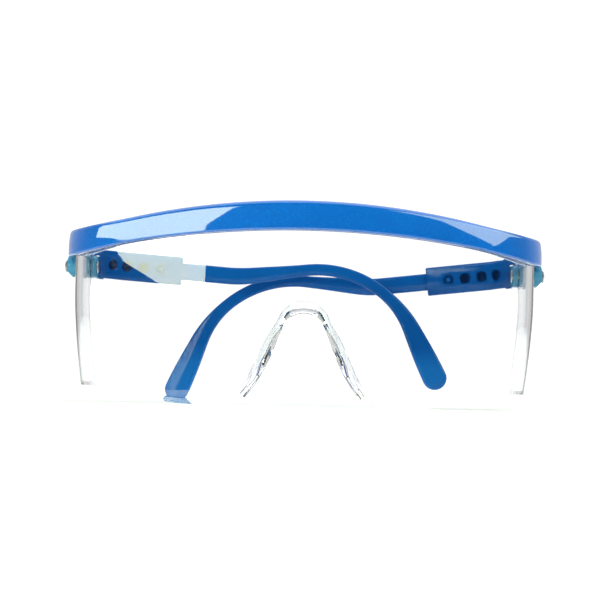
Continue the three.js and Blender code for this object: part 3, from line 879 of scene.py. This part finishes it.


# ---------- the object ----------
# Painted reflection: lightens the arm's lowest part as the bright floor reflected in it would.
ARM_TIP_PAINTED_REFLECTION = (5.0, 1.8, 1.45)  # what the arm's blue is multiplied by near its tip
MATERIALS = {
    "clear_lens": clear_plastic("clear_lens"),
    "bar_blue": pearl_plastic("bar_blue"),
    "block_blue": moulded_plastic("block_blue", (0.05, 0.25, 0.44), (0.07, 0.29, 0.50)),
    "sleeve_blue": moulded_plastic("sleeve_blue", (0.0015, 0.068, 0.29), (0.0022, 0.080, 0.34)),
    "arm_blue": moulded_plastic("arm_blue", (0.0014, 0.078, 0.33), (0.0022, 0.094, 0.38), tip=ARM_TIP_PAINTED_REFLECTION),
    "pin_steel": turned_steel("pin_steel"),
}


def finish_piece(obj, node, body, slot):
    obj.data.materials.clear()
    obj.data.materials.append(MATERIALS[slot])
    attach(obj, body)
    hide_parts(node)


finish_piece(build_lens(), "lens", "front", "clear_lens")
finish_piece(build_bar(), "brow_bar", "front", "bar_blue")
for side_name, side in (("right", 1), ("left", -1)):
    finish_piece(build_block(side_name, side), side_name + "_hinge_block", side_name + "_hinge", "block_blue")
    finish_piece(build_pivot(side_name, side), side_name + "_tilt_pivot", side_name + "_hinge", "pin_steel")
    finish_piece(build_pin(side_name), side_name + "_hinge_pin", side_name + "_hinge", "pin_steel")
    finish_piece(build_sleeve(side_name, side), side_name + "_sleeve", side_name + "_sleeve", "sleeve_blue")
    finish_piece(build_arm(side_name, side), side_name + "_arm", side_name + "_arm", "arm_blue")

# ---------- stage ----------
FLOOR_HALF_WIDTH = 1600
FLOOR_FRONT = -1000
BACK_DISTANCE = 950
BACK_HALF_WIDTH = 282
BACK_HEIGHT = 514
floor = block("floor", (-FLOOR_HALF_WIDTH, FLOOR_HALF_WIDTH), (FLOOR_FRONT, 1600), (-20, 0))
floor.data.materials.append(paper_white("floor_paper"))
backs = (BACK_DISTANCE, BACK_DISTANCE + 10)
backdrop = block("backdrop", (-BACK_HALF_WIDTH, BACK_HALF_WIDTH), backs, (0, BACK_HEIGHT))
backdrop.data.materials.append(glowing_white("backdrop_glow", 1.14))


def studio_world(front, side, back):
    """A plain surround that is dim in front of the object and brighter towards its back."""
    world = bpy.data.worlds.new("studio")
    bpy.context.scene.world = world
    world.use_nodes = True
    tree = world.node_tree
    coords = tree.nodes.new("ShaderNodeTexCoord")
    axes = tree.nodes.new("ShaderNodeSeparateXYZ")
    tree.links.new(coords.outputs["Generated"], axes.inputs["Vector"])
    share = map_range(tree, axes.outputs["Y"], 0, 1, -1, 1)
    tone = ramp(tree, share.outputs["Result"], [(0.12, front), (0.5, side), (0.9, back)])
    tree.links.new(tone.outputs["Color"], tree.nodes["Background"].inputs["Color"])


studio_world((0.012, 0.05, 0.13), (0.18, 0.24, 0.26), (0.7, 0.7, 0.7))
bpy.context.scene.view_settings.view_transform = "Standard"


def softbox(name, azimuth, distance, middle, width, height, radiance, roll=0.0, slide=0.0, tone=(1, 1, 1)):
    """An upright light panel facing the object; azimuth is counted from the front, + to +X."""
    light = bpy.data.lights.new(name, "AREA")
    light.shape = "RECTANGLE"
    light.size = width * MM
    light.size_y = height * MM
    light.color = tone
    light.energy = radiance * math.pi * width * height * MM * MM
    obj = bpy.data.objects.new(name, light)
    bpy.context.scene.collection.objects.link(obj)
    a = math.radians(azimuth)
    outwards, sideways = Vector((math.sin(a), -math.cos(a), 0)), Vector((math.cos(a), math.sin(a), 0))
    obj.location = (outwards * distance + sideways * slide + Vector((0, 0, middle))) * MM
    turn = Vector((-math.sin(a), math.cos(a), 0)).to_track_quat("-Z", "Y")
    obj.rotation_mode = "QUATERNION"
    obj.rotation_quaternion = turn @ Matrix.Rotation(math.radians(roll), 3, "Z").to_quaternion()
    return obj


WARM = (0.92, 1.0, 0.72)
overhead = softbox("overhead", 0, -250, 1500, 2200, 2200, 1.25)
overhead.rotation_quaternion = (1, 0, 0, 0)
softbox("left_box", -38, 900, 338, 870, 450, 6.0, -8, -20, WARM)
softbox("right_box", 66, 1000, 870, 1400, 1100, 3.4, 20, -310, WARM)

# ---------- camera ----------
VIEW_DISTANCE = 700
VIEW_DOWN = -2.0
ROLL = 1.3
FOCAL_PIXELS = 2369
SENSOR = 36
AIM = Vector((-1.27, FRONT_Y, 31.4))

camera_data = bpy.data.cameras.new("camera")
camera_data.sensor_width = SENSOR
camera_data.lens = FOCAL_PIXELS / 600 * SENSOR
camera_data.clip_start = 0.01
camera_data.clip_end = 20
camera = bpy.data.objects.new("camera", camera_data)
bpy.context.scene.collection.objects.link(camera)
down = math.radians(VIEW_DOWN)
forward = Vector((0, math.cos(down), -math.sin(down)))
camera.location = (AIM - forward * VIEW_DISTANCE) * MM
camera.rotation_mode = "QUATERNION"
roll_turn = Matrix.Rotation(math.radians(ROLL), 3, "Z").to_quaternion()
camera.rotation_quaternion = forward.to_track_quat("-Z", "Y") @ roll_turn
bpy.context.scene.camera = camera
